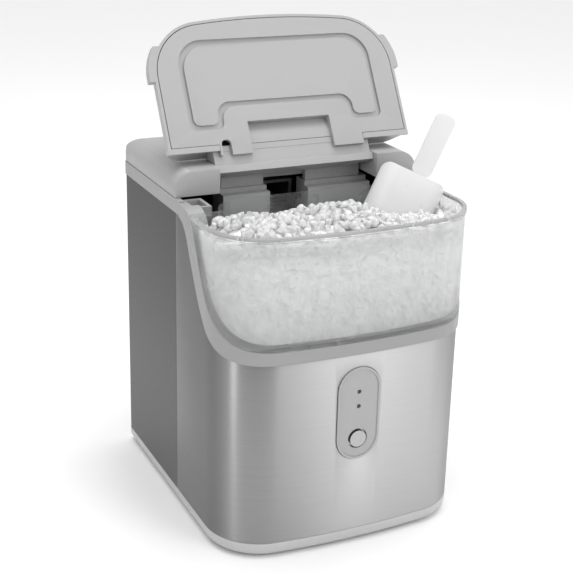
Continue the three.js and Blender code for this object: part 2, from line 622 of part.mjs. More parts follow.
// Water --------------------------------------------------------------------------------
const PUMP = { x: 66, y: 34, radius: 17 };
const waterPump = () => turned(PUMP.x, PUMP.y, [[0, 8], [PUMP.radius, 8], [PUMP.radius, 26], [13, 28],
  [13, 44],
  [5, 46], [3, 50], [0, 50]], 20);
const feedTube = () => tube([[PUMP.x, TANK_REAR + GAP, 70], [PUMP.x, TANK_REAR + 5, 70],
  [PUMP.x, 4, 60], [PUMP.x, 5, 32],
  [PUMP.x, 9, 20], [PUMP.x, PUMP.y - PUMP.radius - 2 * GAP, 20]], 4, 16);
const TANK_REAR = BIN.rear + TANK.wall + 1;
const supplyTube = () => tube([[PUMP.x, PUMP.y, 50.3], [PUMP.x, PUMP.y, 76], [52, 46, 94], [34, 58, 90],
  [AUGER.x + 15.6, AUGER.y, 88]], 3.5, 20);
const DRAIN = { x: 14, z: 24, radius: 7 };
const drainTube = () => tube([[48, TANK_REAR + GAP, 66], [48, TANK_REAR + 5, 66], [48, 2, 58],
  [45, 14, 30], [44, 34, 15], [44, 84, 14],
  [36, 104, 15], [20, 112, 20], [DRAIN.x, 122, DRAIN.z]], 4, 24);
const drainSpout = () => cut(
  join(rod("y", [DRAIN.x, 0, DRAIN.z], 6.6, 122.3, 134.2, 20),
    rod("y", [DRAIN.x, 0, DRAIN.z], 9, 129, 131.6, 20)),
  rod("y", [DRAIN.x, 0, DRAIN.z], 4.6, 120, 140, 16));
const drainCap = () => join(rod("y", [DRAIN.x, 0, DRAIN.z], 8.5, 134.5, 135, 20),
  rod("y", [DRAIN.x, 0, DRAIN.z], 4.2, 126, 134.6, 16));

// Electrics ----------------------------------------------------------------------------
const INLET = { x0: -32, x1: -4, z0: 20, z1: 42 };
function powerInlet() {
  const { x0, x1, z0, z1 } = INLET;
  const middle = (x0 + x1) / 2;
  const shell = cut(box(x0, x1, 117, 134.6, z0, z1), box(x0 + 3, x1 - 3, 121, 140, z0 + 3, z1 - 3));
  const pin = (x, z) => box(x - 1, x + 1, 120, 131, z - 2.5, z + 2.5);
  return join(shell, pin(middle - 6, 29), pin(middle + 6, 29), pin(middle, 34));
}
function mainBoard() {
  return join(box(-111.5, -110, 20, 116, 178, 262), box(-110.1, -92, 30, 58, 190, 215),
    box(-110.1, -98, 66, 86, 190, 206),
    box(-110.1, -100, 34, 52, 228, 250), box(-110.1, -104, 62, 108, 224, 236));
}
const REAR_SCREWS = [[-104, 30], [104, 30], [-104, 268], [104, 268]];
const rearScrew = (x, z) => join(rod("y", [x, 0, z], 3.6, REAR_Y + 0.1, REAR_Y + 1, 12),
  rod("y", [x, 0, z], 1.7, 126, REAR_Y + 0.2, 8));

// Scoop: a shallow shovel with a flat handle, standing in the bin ---------------------
// A tray-shaped scoop lying on its flat bottom: rear wall, two side walls and an open front.
function scoop() {
  const { width, length, depth, fillet, wall } = SCOOP;
  const tray = (inset) => {
    const half = width / 2 - inset;
    const section = roundedRectangle(-half, half, inset, 80, fillet - inset, 6);
    const plan = roundedRectangle(-half, half, -length - 60, -inset, 9 - inset, 4);
    return prismY(section, -length - 50, -inset).intersect(prism(plan, -5, 90));
  };
  const mouth = prismX([[-length - 60, -5], [-length - 60, 90], [-length + 16, 90],
    [-length + 8, depth * 0.6],
    [-length, 5], [-length, -5]], -60, 60);
  const bowl = cut(tray(0), tray(wall), box(-60, 60, -140, 20, depth, 90), mouth);
  const handle = prism(roundedRectangle(-11.3, 6.3, -0.8, 56, 6, 4), 5, 10);
  return join(bowl, handle);
}

// Assembly -----------------------------------------------------------------------------
add("base_tray", baseTray(), LOOK.lightPlastic());
for (const [name, x, y] of [["front_left", -84, -92], ["front_right", 84, -92], ["rear_left", -96, 112],
  ["rear_right", 96, 112]]) {
  add(`foot_${name}`, foot(x, y), LOOK.rubber());
}
add("front_wrap", frontWrap(), LOOK.steel());
add("rear_shell", rearShell(), LOOK.darkPanel());
add("bezel_frame", bezelFrame(), LOOK.lightPlastic());
add("top_cover", topCover(), LOOK.lightPlastic());
add("hinge_cap_left", hingeCap(-1), LOOK.lightPlastic());
add("hinge_cap_right", hingeCap(1), LOOK.lightPlastic());
add("hinge_pin_left", hingePin(-1), LOOK.aluminium());
add("hinge_pin_right", hingePin(1), LOOK.aluminium());

const lid = new THREE.Group();
const lidContents = new THREE.Group();
lid.position.set(0, HINGE.y, HINGE.z);
lid.rotation.x = THREE.MathUtils.degToRad(-LID_OPEN_DEG);
lidContents.position.set(0, -HINGE.y, -HINGE.z);
lid.add(lidContents);
object.add(lid);
add("lid_shell", lidShell(), LOOK.lightPlastic(), lidContents);
add("lid_liner", lidLiner(), LOOK.lightPlastic(), lidContents);

add("ice_bin", iceBin(), LOOK.clear());
const scoopMesh = add("scoop", scoop(), LOOK.white());
const along = new THREE.Vector3(0.44, 0, 0.898).normalize();
const opening = new THREE.Vector3(0.4, 0.88, -0.196);
const across = new THREE.Vector3().crossVectors(along, opening).normalize();
scoopMesh.setRotationFromMatrix(new THREE.Matrix4().makeBasis(across, along,
  opening.crossVectors(across, along)));
scoopMesh.position.set(78.5, -78, 312.7);

add("water_tank", waterTank(), LOOK.clear());
add("float_ring", floatRing(), LOOK.white());

add("control_panel", controlPanel(), LOOK.lightPlastic());
add("power_button", powerButton(), LOOK.lightPlastic());
add("indicator_lens_lower", indicatorLens(LAMP_Z[0]), LOOK.lens());
add("indicator_lens_upper", indicatorLens(LAMP_Z[1]), LOOK.lens());
add("control_board", controlBoard(), LOOK.board());

add("outlet_housing", outletHousing(), LOOK.greyPlastic());
add("ir_sensor_left", irSensor(-1), LOOK.lens());
add("ir_sensor_right", irSensor(1), LOOK.lens());
add("ice_chute", iceChute(), LOOK.greyPlastic());
add("extruder_head", extruderHead(), LOOK.aluminium());
add("evaporator_cylinder", evaporatorCylinder(), LOOK.steel());
add("evaporator_insulation", evaporatorInsulation(), LOOK.foam());
add("auger", auger(), LOOK.steel());
add("bearing_housing", bearingHousing(), LOOK.aluminium());
add("drive_gear", driveGear(), LOOK.aluminium());
add("motor_pinion", motorPinion(), LOOK.aluminium());
add("gearbox_housing", gearboxHousing(), LOOK.darkPlastic());
add("gearbox_lid", gearboxLid(), LOOK.darkPlastic());
add("gear_motor", gearMotor(), LOOK.black());

add("compressor", compressor(), LOOK.black());
add("compressor_plate", compressorPlate(), LOOK.aluminium());
for (const [i, [x, y]] of BUSHES.entries()) add(`compressor_bush_${i + 1}`, compressorBush(x, y),
  LOOK.rubber());
add("condenser", condenser(), LOOK.aluminium());
add("fan_shroud", fanShroud(), LOOK.darkPlastic());
add("fan_rotor", fanRotor(), LOOK.darkPlastic());
add("discharge_line", dischargeLine(), LOOK.copper());
add("suction_line", suctionLine(), LOOK.copper());

add("water_pump", waterPump(), LOOK.darkPlastic());
add("feed_tube", feedTube(), LOOK.clear());
add("supply_tube", supplyTube(), LOOK.clear());
add("drain_tube", drainTube(), LOOK.clear());
add("drain_spout", drainSpout(), LOOK.darkPlastic());
add("drain_cap", drainCap(), LOOK.rubber());

add("power_inlet", powerInlet(), LOOK.black());
add("main_board", mainBoard(), LOOK.board());
for (const [i, [x, z]] of REAR_SCREWS.entries()) add(`rear_screw_${i + 1}`, rearScrew(x, z),
  LOOK.aluminium());

export default object;
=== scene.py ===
"""Looks of a countertop nugget ice maker: lid open, clear bin full of ice, scoop standing in it.

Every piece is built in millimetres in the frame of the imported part, then scaled to metres and put
on its body. +Z is up and the front faces -Y. The lid is built closed, then turned open.
"""
import json
import math

import bmesh
import bpy
import numpy as np
from mathutils import Matrix, Vector


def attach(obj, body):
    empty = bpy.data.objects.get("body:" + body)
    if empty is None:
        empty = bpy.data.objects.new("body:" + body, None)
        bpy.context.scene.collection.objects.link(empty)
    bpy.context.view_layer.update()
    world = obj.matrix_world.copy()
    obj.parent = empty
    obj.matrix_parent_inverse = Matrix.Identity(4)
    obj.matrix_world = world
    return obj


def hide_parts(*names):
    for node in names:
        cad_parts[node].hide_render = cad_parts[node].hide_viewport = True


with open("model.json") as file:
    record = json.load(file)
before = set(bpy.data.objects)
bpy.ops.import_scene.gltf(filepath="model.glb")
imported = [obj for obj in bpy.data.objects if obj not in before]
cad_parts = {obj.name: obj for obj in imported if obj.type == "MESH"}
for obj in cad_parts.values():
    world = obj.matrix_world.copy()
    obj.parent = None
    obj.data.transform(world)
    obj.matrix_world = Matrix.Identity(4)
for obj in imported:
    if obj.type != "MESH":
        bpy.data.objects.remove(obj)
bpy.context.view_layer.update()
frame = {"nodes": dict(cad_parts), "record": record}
MM = 0.001
FAR = 200.0  # well outside the cabinet, in millimetres

# Sizes shared with the part, in millimetres
HALF_WIDTH, FRONT_Y, REAR_Y = 117.5, -133.0, 134.0
FRONT_CORNER, FRONT_BOW, REAR_CORNER = 50.0, 3.6, 10.0
SEAM_Y, CAP_Y, NOTCH_Y = -9.5, -7.6, 26.0
FLOOR_Z, BASE_Z, SIDE_Z, COVER_Z, TOP_Z = 3.0, 15.0, 280.0, 292.5, 314.5
CROWN, GAP, STEEL, COVER_WALL = 18.0, 0.3, 1.2, 2.5
HINGE_Y, HINGE_Z, PIN_RADIUS, LID_OPEN_DEG, LID_SWEEP = 7.5, 305.0, 3.0, 120.4, 19.9
TONGUE_HALF = 76.0
BIN_TOP, BIN_FLOOR, BIN_WALL, BIN_HALF, BIN_FRONT, BIN_REAR, BIN_LIP = 288, 160, 2.5, 92, -116, -14, 2
PANEL_HALF, PANEL_LOW, PANEL_HIGH = 20.0, 83.0, 168.0


# Solids -------------------------------------------------------------------
def mesh_object(name, vertices, faces):
    mesh = bpy.data.meshes.new(name)
    mesh.from_pydata([tuple(v) for v in vertices], [], faces)
    shape = bpy.data.objects.new(name, mesh)
    bpy.context.scene.collection.objects.link(shape)
    edit = bmesh.new()
    edit.from_mesh(mesh)
    bmesh.ops.recalc_face_normals(edit, faces=edit.faces)
    edit.to_mesh(mesh)
    edit.free()
    return shape


def loft(rings):
    """A closed body through rings of points that all have the same count."""
    count = len(rings[0])
    vertices = [p for ring in rings for p in ring]
    faces = [list(range(count))]
    faces.append(list(range((len(rings) - 1) * count, len(rings) * count)))
    for k in range(len(rings) - 1):
        for i in range(count):
            j = (i + 1) % count
            faces.append([k * count + i, k * count + j, (k + 1) * count + j, (k + 1) * count + i])
    return mesh_object("solid", vertices, faces)


def prism(points, low, high, axis="z"):
    """An outline carried along one axis: (x, y) for z, (y, z) for x, (x, z) for y."""
    place = {
        "z": lambda a, b, t: (a, b, t),
        "x": lambda a, b, t: (t, a, b),
        "y": lambda a, b, t: (a, t, b),
    }[axis]
    return loft([[place(a, b, t) for a, b in points] for t in (low, high)])


def box(x0, x1, y0, y1, z0, z1):
    return prism([(x0, y0), (x1, y0), (x1, y1), (x0, y1)], z0, z1)


def behind(y, low=0):
    """Everything behind a plane across the part, from a height up."""
    return box(-FAR, FAR, y, FAR, low, 2 * FAR)


def in_front_of(y, low=0):
    return box(-FAR, FAR, -FAR, y, low, 2 * FAR)


def span(side, inner, outer):
    """Both ends in x of what lies between two distances from the middle, left (-1) or right (1)."""
    return sorted((side * inner, side * outer))


def hinge_rod(radius, low, high, sides=64):
    """A cylinder on the lid's hinge line."""
    turns = [2 * math.pi * i / sides for i in range(sides)]
    circle = [(HINGE_Y + radius * math.cos(t), HINGE_Z + radius * math.sin(t)) for t in turns]
    return prism(circle, low, high, "x")


def bake(body):
    """Turns the modifiers into the mesh."""
    graph = bpy.context.evaluated_depsgraph_get()
    graph.update()
    mesh = bpy.data.meshes.new_from_object(body.evaluated_get(graph))
    body.modifiers.clear()
    body.data = mesh


def boolean(body, tools, operation):
    for tool in tools:
        modifier = body.modifiers.new("boolean", "BOOLEAN")
        modifier.operation = operation
        modifier.solver = "MANIFOLD"
        modifier.object = tool
        bake(body)
        bpy.data.objects.remove(tool)
    return body


def cut(body, *tools):
    return boolean(body, tools, "DIFFERENCE")


def join(body, *others):
    return boolean(body, others, "UNION")


def common(body, *others):
    return boolean(body, others, "INTERSECT")


# Outlines -----------------------------------------------------------------
def arc(cx, cy, radius, start, end, steps):
    turns = [start + (end - start) * i / steps for i in range(steps + 1)]
    return [(cx + radius * math.cos(t), cy + radius * math.sin(t)) for t in turns]


def cabinet_outline(grow, rear_y=REAR_Y, corner_steps=28, front_steps=30, rear_steps=10):
    """The cabinet seen from above, moved out by grow: bowed front, round front corners."""
    half = HALF_WIDTH - FRONT_CORNER
    front_radius = (half * half + FRONT_BOW * FRONT_BOW) / (2 * FRONT_BOW) + FRONT_CORNER
    corner_y = FRONT_Y + FRONT_CORNER + FRONT_BOW
    spread = math.asin(half / (front_radius - FRONT_CORNER))
    down = -math.pi / 2
    rear_corner = REAR_CORNER if rear_y == REAR_Y else 2 * REAR_CORNER + CROWN
    rear = max(rear_corner + grow, 2)
    inset = rear_corner + grow - rear
    side_x, back_y = HALF_WIDTH - rear_corner, rear_y - rear_corner
    points = arc(-half, corner_y, FRONT_CORNER + grow, -math.pi, down - spread, corner_steps)
    front = arc(0, FRONT_Y + front_radius, front_radius + grow, down - spread, down + spread, front_steps)
    points += front[1:-1]
    points += arc(half, corner_y, FRONT_CORNER + grow, down + spread, 0, corner_steps)
    points += arc(side_x + inset, back_y + inset, rear, 0, math.pi / 2, rear_steps)
    points += arc(-side_x - inset, back_y + inset, rear, math.pi / 2, math.pi, rear_steps)
    return points


def slab(grow, low=0, high=2 * FAR):
    """The cabinet's outline moved out by grow, between two heights."""
    return prism(cabinet_outline(grow), low, high)


def rounded_rectangle(x0, x1, y0, y1, radius, steps=12):
    corners = ((x1 - radius, y0 + radius, -90), (x1 - radius, y1 - radius, 0),
               (x0 + radius, y1 - radius, 90), (x0 + radius, y0 + radius, 180))
    points = []
    for cx, cy, start in corners:
        points += arc(cx, cy, radius, math.radians(start), math.radians(start + 90), steps)
    return points


def bezier(a, b, c, d, steps):
    points = []
    for i in range(steps + 1):
        t = i / steps
        w = ((1 - t) ** 3, 3 * t * (1 - t) ** 2, 3 * t * t * (1 - t), t ** 3)
        points.append(tuple(sum(k * p[n] for k, p in zip(w, (a, b, c, d))) for n in (0, 1)))
    return points


def side_curve(kind, steps=26):
    """The S-shaped edge of the rails in (y, z): outer towards the steel, inner towards the bin."""
    if kind == "outer":
        spans = (((-14, SIDE_Z), (-34, SIDE_Z), (-38, 268), (-47, 250)),
                 ((-47, 250), (-60, 229), (-80, 180), (-126, 180)))
    else:
        spans = (((-30, 291), (-46, 291), (-52, 282), (-61, 262)),
                 ((-61, 262), (-71, 244), (-92, 192), (-132, 191)))
    return bezier(*spans[0], steps) + bezier(*spans[1], steps)[1:]


def space_above(kind, shift):
    """Everything above and in front of a side curve, across the whole width."""
    rear, front, top, half = 5, -160, 360, 150
    curve = side_curve(kind)
    moved = []
    for i, (y, z) in enumerate(curve):
        ya, za = curve[max(i - 1, 0)]
        yb, zb = curve[min(i + 1, len(curve) - 1)]
        length = math.hypot(yb - ya, zb - za)
        moved.append((y + shift * (zb - za) / length, z - shift * (yb - ya) / length))
    start_z, end_z = moved[0][1], moved[-1][1]
    profile = [(rear, start_z), *moved, (front, end_z), (front, top), (rear, top)]
    return prism(profile, -half, half, "x")


def crown(inset, z0, top):
    """The rounded top of cabinet and lid, cut level at z0."""
    skirt, long_rear, front, half = 40, 190, -150, 130
    rounding = CROWN - inset
    steps = 12
    rings = []
    for i in range(-1, steps + 1):
        turn = max(i, 0) / steps * math.pi / 2
        grow = -inset - rounding * (1 - math.cos(turn))
        z = top - rounding + rounding * math.sin(turn) - (skirt if i < 0 else 0)
        rings.append([(x, y, z) for x, y in cabinet_outline(grow, rear_y=long_rear)])
    rear = REAR_Y - inset
    profile = [(front, z0), (rear, z0)]
    profile += arc(rear - rounding, top - rounding, rounding, 0, math.pi / 2, steps)
    profile.append((front, top))
    return common(loft(rings), prism(profile, -half, half, "x"), slab(-inset, FAR))


# Finishing a piece ------------------------------------------------------------
def piece(shape, name, body, slot, stands_for=(), edge=0.4, angle=32, matrix=None, look=None):
    """Rounds the edges, scales to metres and puts a piece on its body.

    stands_for names the nodes that the piece replaces. Creases over angle degrees stay sharp. look
    names a material where it isn't the slot's own.
    """
    shape.name = name
    if edge:
        bevel = shape.modifiers.new("edge", "BEVEL")
        bevel.width = edge
        bevel.segments = 2
        bevel.limit_method = "ANGLE"
        bevel.angle_limit = math.radians(38)
        bake(shape)
    if matrix is not None:
        shape.data.transform(matrix)
    shape.data.transform(Matrix.Scale(MM, 4))
    shape.data.materials.clear()
    shape.data.materials.append(MATERIALS[look or slot])
    shape.data.shade_smooth()
    shape.data.set_sharp_from_angle(angle=math.radians(angle))
    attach(shape, body)
    if stands_for:
        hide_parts(*stands_for)


# Materials --------------------------------------------------------------------
def ramp(tree, value, start, end, low, high, interpolation="LINEAR"):
    """A value that goes from low to high while another goes from start to end."""
    rise = tree.nodes.new("ShaderNodeMapRange")
    rise.interpolation_type = interpolation
    for name, number in (("From Min", start), ("From Max", end), ("To Min", low), ("To Max", high)):
        rise.inputs[name].default_value = number
    tree.links.new(value, rise.inputs["Value"])
    return rise.outputs["Result"]


class Finish:
    """A Principled material with procedural variation in colour, roughness and relief."""

    def __init__(self, name, color, roughness, metallic=0.0, **inputs):
        """inputs holds further inputs of the shader, with _ for a space."""
        self.material = bpy.data.materials.new(name)
        self.material.use_nodes = True
        self.tree = self.material.node_tree
        self.shader = self.tree.nodes["Principled BSDF"]
        self.shader.inputs["Base Color"].default_value = (*color, 1)
        self.shader.inputs["Roughness"].default_value = roughness
        self.shader.inputs["Metallic"].default_value = metallic
        for key, value in inputs.items():
            self.shader.inputs[key.replace("_", " ")].default_value = value
        self.color = color
        self.roughness = roughness

    def node(self, kind, **settings):
        """A node; a setting that starts with in_ is the default of that input."""
        made = self.tree.nodes.new(kind)
        for key, value in settings.items():
            if key.startswith("in_"):
                made.inputs[key[3:].replace("_", " ")].default_value = value
            else:
                setattr(made, key, value)
        return made

    def link(self, source, target):
        self.tree.links.new(source, target)

    def noise(self, scale, stretch=(1, 1, 1), detail=3.0):
        place = self.node("ShaderNodeTexCoord")
        mapping = self.node("ShaderNodeMapping", in_Scale=stretch)
        noise = self.node("ShaderNodeTexNoise", in_Scale=scale, in_Detail=detail)
        self.link(place.outputs["Object"], mapping.inputs["Vector"])
        self.link(mapping.outputs["Vector"], noise.inputs["Vector"])
        return noise.outputs["Fac"]

    def along(self, kind, output, axis):
        """One axis of a node's vector output."""
        parts = self.node("ShaderNodeSeparateXYZ")
        self.link(self.node(kind).outputs[output], parts.inputs[0])
        return parts.outputs[axis]

    def place(self, axis):
        """Where the point lies along an axis, in metres."""
        return self.along("ShaderNodeTexCoord", "Object", axis)

    def facing(self, axis):
        """How far the surface faces along an axis, from -1 to 1."""
        return self.along("ShaderNodeNewGeometry", "Normal", axis)

    def spread(self, noise, low, high):
        """Stretches the middle of a noise over a range."""
        return ramp(self.tree, noise, 0.3, 0.7, low, high)

    def tint(self, value, amount):
        """Lets the colour wander by a share of itself."""
        mix = self.node("ShaderNodeMix", data_type="RGBA")
        mix.inputs[6].default_value = (*[c * (1 - amount) for c in self.color], 1)
        mix.inputs[7].default_value = (*[min(c * (1 + amount), 1) for c in self.color], 1)
        self.link(value, mix.inputs[0])
        self.link(mix.outputs[2], self.shader.inputs["Base Color"])

    def paint_shade(self, value, start, end, share):
        """Paints shade into the colour: multiplies the tinted colour by a share that comes in from start
        to end of the value.
        """
        scaled = self.node("ShaderNodeVectorMath", operation="SCALE")
        self.link(self.shader.inputs["Base Color"].links[0].from_socket, scaled.inputs[0])
        shade = ramp(self.tree, value, start, end, 1, share, "SMOOTHSTEP")
        self.link(shade, scaled.inputs["Scale"])
        self.link(scaled.outputs["Vector"], self.shader.inputs["Base Color"])

    def rough(self, noise, amount):
        self.link(self.spread(noise, self.roughness - amount, self.roughness + amount),
                  self.shader.inputs["Roughness"])

    def relief(self, value, distance, strength=0.3):
        bump = self.node("ShaderNodeBump", in_Strength=strength, in_Distance=distance)
        self.link(value, bump.inputs["Height"])
        self.link(bump.outputs["Normal"], self.shader.inputs["Normal"])


def grey(value):
    return (value, value, value)


def moulded(name, color, roughness, grain=1400, depth=0.00012):
    """Plastic, rubber and the like; grain is the scale of its relief and depth its height."""
    look = Finish(name, color, roughness)
    look.tint(look.noise(9), 0.03)
    look.rough(look.noise(60), 0.05)
    look.relief(look.noise(grain), depth)
    return look.material


def metal(name, color, roughness):
    look = Finish(name, color, roughness, 1.0)
    look.tint(look.noise(40), 0.06)
    look.rough(look.noise(300), 0.06)
    look.relief(look.noise(900), 0.00005)
    return look.material


def brushed_steel():
    """Level brush lines, with painted shade towards both sides and left of the middle."""
    look = Finish("brushed_steel", (0.5, 0.5, 0.502), 0.4, 1.0,
                  Anisotropic=0.93, Anisotropic_Rotation=0.25)
    lines = look.noise(1, (14, 14, 5200), 2)
    look.tint(lines, 0.17)
    facing = look.facing("X")
    # Painted shade: the colour darkens where the steel faces left or right, and on the left of the front,
    # standing in for dimmer reflections.
    look.paint_shade(facing, -0.72, -0.97, 0.62)
    look.paint_shade(facing, 0.3, 0.95, 0.4)
    look.paint_shade(look.place("X"), 0.01, -0.1, 0.68)
    look.rough(lines, 0.07)
    look.relief(lines, 0.00004, 0.22)
    return look.material


def dark_panel():
    """Shell in dark paint, with painted shade that darkens it towards its top."""
    look = Finish("dark_panel", (0.075, 0.075, 0.076), 0.4, Specular_IOR_Level=0.28)
    look.tint(look.noise(1, (1200, 1200, 10), 2), 0.1)
    # Painted shade: the colour darkens towards the top, where the panel mirrors less of the bright floor.
    look.paint_shade(look.place("Z"), 0.08, 0.28, 0.3)
    look.rough(look.noise(400), 0.03)
    look.relief(look.noise(700), 0.00006)
    return look.material


def clear_edge():
    """The bin's rim, where the clear wall is seen end on."""
    look = Finish("clear_edge", grey(0.5), 0.25, Transmission_Weight=0.35)
    look.tint(look.noise(30), 0.12)
    look.rough(look.noise(80), 0.05)
    look.relief(look.noise(300), 0.0001)
    return look.material


def clear_plastic():
    """Hazy clear plastic, clearer towards the bin's rear wall, where no ice has frosted it."""
    look = Finish("clear_plastic", grey(0.92), 0.24, Transmission_Weight=0.84, IOR=1.2)
    look.rough(look.noise(50), 0.05)
    look.relief(look.noise(120), 0.0003, 0.15)
    see = look.node("ShaderNodeBsdfTransparent", in_Color=(0.93, 0.935, 0.94, 1))
    haze = look.spread(look.noise(14), 0.28, 0.4)
    total = look.node("ShaderNodeMath", operation="ADD")
    look.link(haze, total.inputs[0])
    look.link(ramp(look.tree, look.place("Y"), -0.075, -0.035, 0, 0.42), total.inputs[1])
    mix = look.node("ShaderNodeMixShader")
    look.link(total.outputs["Value"], mix.inputs["Fac"])
    look.link(look.shader.outputs["BSDF"], mix.inputs[1])
    look.link(see.outputs["BSDF"], mix.inputs[2])
    look.link(mix.outputs["Shader"], look.tree.nodes["Material Output"].inputs["Surface"])
    return look.material


def nugget_ice():
    look = Finish("nugget_ice", grey(0.97), 0.1, Transmission_Weight=0.45, IOR=1.31,
                  Subsurface_Weight=0.5, Subsurface_Radius=grey(0.008), Coat_Weight=0.4)
    look.tint(look.spread(look.noise(130), 0, 1), 0.08)
    look.rough(look.noise(200), 0.08)
    look.relief(look.noise(600), 0.0005, 0.4)
    return look.material


def packed_ice():
    look = Finish("packed_ice", grey(0.9), 0.6, Subsurface_Weight=0.5, Subsurface_Radius=grey(0.004))
    look.tint(look.spread(look.noise(120), 0, 1), 0.08)
    look.rough(look.noise(200), 0.12)
    look.relief(look.noise(130), 0.007, 1.0)
    return look.material


def white_plastic():
    look = Finish("white_plastic", grey(0.77), 0.32,
                  Subsurface_Weight=0.25, Subsurface_Radius=grey(0.004))
    look.tint(look.noise(12), 0.03)
    look.rough(look.noise(80), 0.05)
    look.relief(look.noise(900), 0.00008)
    return look.material


MATERIALS = {
    "light_plastic": moulded("light_plastic", grey(0.38), 0.42),
    # A darker copy of light_plastic: painted shade for the bezel's band and rails, which are the same
    # plastic.
    "light_plastic_painted_shade": moulded("light_plastic_painted_shade", grey(0.31), 0.46),
    # A lighter copy of light_plastic: painted light for the base tray, which is the same plastic.
    "light_plastic_painted_light": moulded("light_plastic_painted_light", grey(0.5), 0.42),
    "brushed_steel": brushed_steel(),
    "dark_panel": dark_panel(),
    "clear_plastic": clear_plastic(),
    "white_plastic": white_plastic(),
    "rubber": moulded("rubber", grey(0.03), 0.8, 900),
    "metal": metal("metal", (0.42, 0.42, 0.425), 0.3),
    "lens": moulded("lens", grey(0.03), 0.12, 300, 0.00002),
    "circuit_board": moulded("circuit_board", (0.03, 0.16, 0.06), 0.5, 300),
    "grey_plastic": moulded("grey_plastic", grey(0.4), 0.36, 900),
    "dark_plastic": moulded("dark_plastic", grey(0.05), 0.5, 900),
    "black_metal": moulded("black_metal", grey(0.015), 0.25, 200),
    "foam": moulded("foam", grey(0.02), 0.9, 500, 0.0005),
    "copper": metal("copper", (0.62, 0.3, 0.18), 0.3),
    "clear_edge": clear_edge(),
    "nugget_ice": nugget_ice(),
    "packed_ice": packed_ice(),
}


def paint_part():
    """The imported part's own meshes take their slots' materials."""
    for row in frame["record"]["subparts"]:
        shape = frame["nodes"][row["node"]]
        shape.data.materials.clear()
        shape.data.materials.append(MATERIALS[row["material_slot"]])


# Cabinet ----------------------------------------------------------------------
BASE_TUCK, BASE_RISE, BASE_WALL, BASE_PLATE = 5, 9, 7, 4
BAND_OUT, TRIM_OUT, BEZEL_IN, LIP_OUT, LIP_IN = 1.5, 0.6, -4, -3.9, -13
BAND_LOW, BAND_REAR, LIP_LOW, LIP_REAR, LIP_DROP = 170, -20, 150, -30, -4
DECK_LOW, DECK_OUT, DECK_FRONT, DECK_WALL = 282, 113.7, -36, 3


def base_tray():
    """A tray whose lower edge tucks in on a quarter round."""
    rings = []
    steps = 8
    for i in range(steps + 1):
        turn = math.pi / 2 * i / steps
        grow = -BASE_TUCK + BASE_TUCK * math.sin(turn)
        z = FLOOR_Z + BASE_RISE * (1 - math.cos(turn))
        rings.append([(x, y, z) for x, y in cabinet_outline(grow)])
    rings.append([(x, y, BASE_Z - GAP / 2) for x, y in cabinet_outline(0)])
    tray = cut(loft(rings), slab(-BASE_WALL, FLOOR_Z + BASE_PLATE, 40))
    # The tray takes a lighter copy of its plastic: painted light.
    piece(tray, "base_tray_fine", "cabinet", "light_plastic", ["base_tray"], look="light_plastic_painted_light")


def front_wrap():
    """The bent steel sheet, with the control pill cut out of it."""
    r = PANEL_HALF + GAP
    pill = rounded_rectangle(-r, r, PANEL_LOW - GAP, PANEL_HIGH + GAP, r - 0.01, 24)
    wall = cut(slab(0, BASE_Z + GAP, SIDE_Z - GAP),
               slab(-STEEL), behind(SEAM_Y - GAP), space_above("outer", -GAP),
               prism(pill, -150, -110, "y"))
    piece(wall, "front_wrap_fine", "cabinet", "brushed_steel", ["front_wrap"], edge=0.25)


def bezel_frame():
    """Front band with S-shaped rails, side trims, inner lip, and a hollow deck at each rail's top."""
    top = COVER_Z - GAP
    band = cut(slab(BAND_OUT, BAND_LOW, top), slab(BEZEL_IN))
    band = cut(common(band, space_above("outer", 0)), space_above("inner", 0), behind(BAND_REAR))
    trim = cut(slab(TRIM_OUT, SIDE_Z, top), slab(BEZEL_IN),
               in_front_of(BAND_REAR - 0.01))
    ring = cut(slab(LIP_OUT, LIP_LOW, top), slab(LIP_IN))
    lip = cut(common(ring, space_above("inner", LIP_DROP)), space_above("inner", 0), behind(LIP_REAR))
    whole = join(band, trim, lip)
    for side in (-1, 1):
        deck = box(*span(side, BIN_HALF + 3, DECK_OUT), DECK_FRONT, SEAM_Y - 0.5, DECK_LOW, COVER_Z - 2)
        pocket = box(*span(side, BIN_HALF + 3 + DECK_WALL, 110), DECK_FRONT + DECK_WALL, BIN_REAR,
                     DECK_LOW + DECK_WALL, 2 * FAR)
        whole = join(whole, cut(deck, pocket))
    # The frame takes a darker copy of its plastic: painted shade.
    piece(whole, "bezel_frame_fine", "cabinet", "light_plastic", ["bezel_frame"], look="light_plastic_painted_shade")


def top_cover():
    """The hollow rear cover, notched for the lid's tongue, and the two end caps of its shoulders."""
    notch = TONGUE_HALF + 0.5
    hollow = cut(crown(COVER_WALL, COVER_Z - 5, TOP_Z - COVER_WALL),
                 box(-notch - COVER_WALL, notch + COVER_WALL, -50, NOTCH_Y + COVER_WALL, FAR, 2 * FAR),
                 in_front_of(CAP_Y + COVER_WALL, FAR))
    cover = cut(crown(0, COVER_Z, TOP_Z), in_front_of(CAP_Y, FAR),
                box(-notch, notch, -50, NOTCH_Y, FAR, 2 * FAR), hollow,
                hinge_rod(PIN_RADIUS + GAP, -90, 90))
    piece(cover, "top_cover_fine", "cabinet", "light_plastic", ["top_cover"], edge=0.6)
    for side, name in ((-1, "hinge_cap_left"), (1, "hinge_cap_right")):
        end = box(*span(side, notch, FAR), SEAM_Y, CAP_Y - GAP, FAR, 2 * FAR)
        cap = common(crown(0, COVER_Z, TOP_Z), end)
        piece(cap, name + "_fine", "cabinet", "light_plastic", [name], edge=0.35)


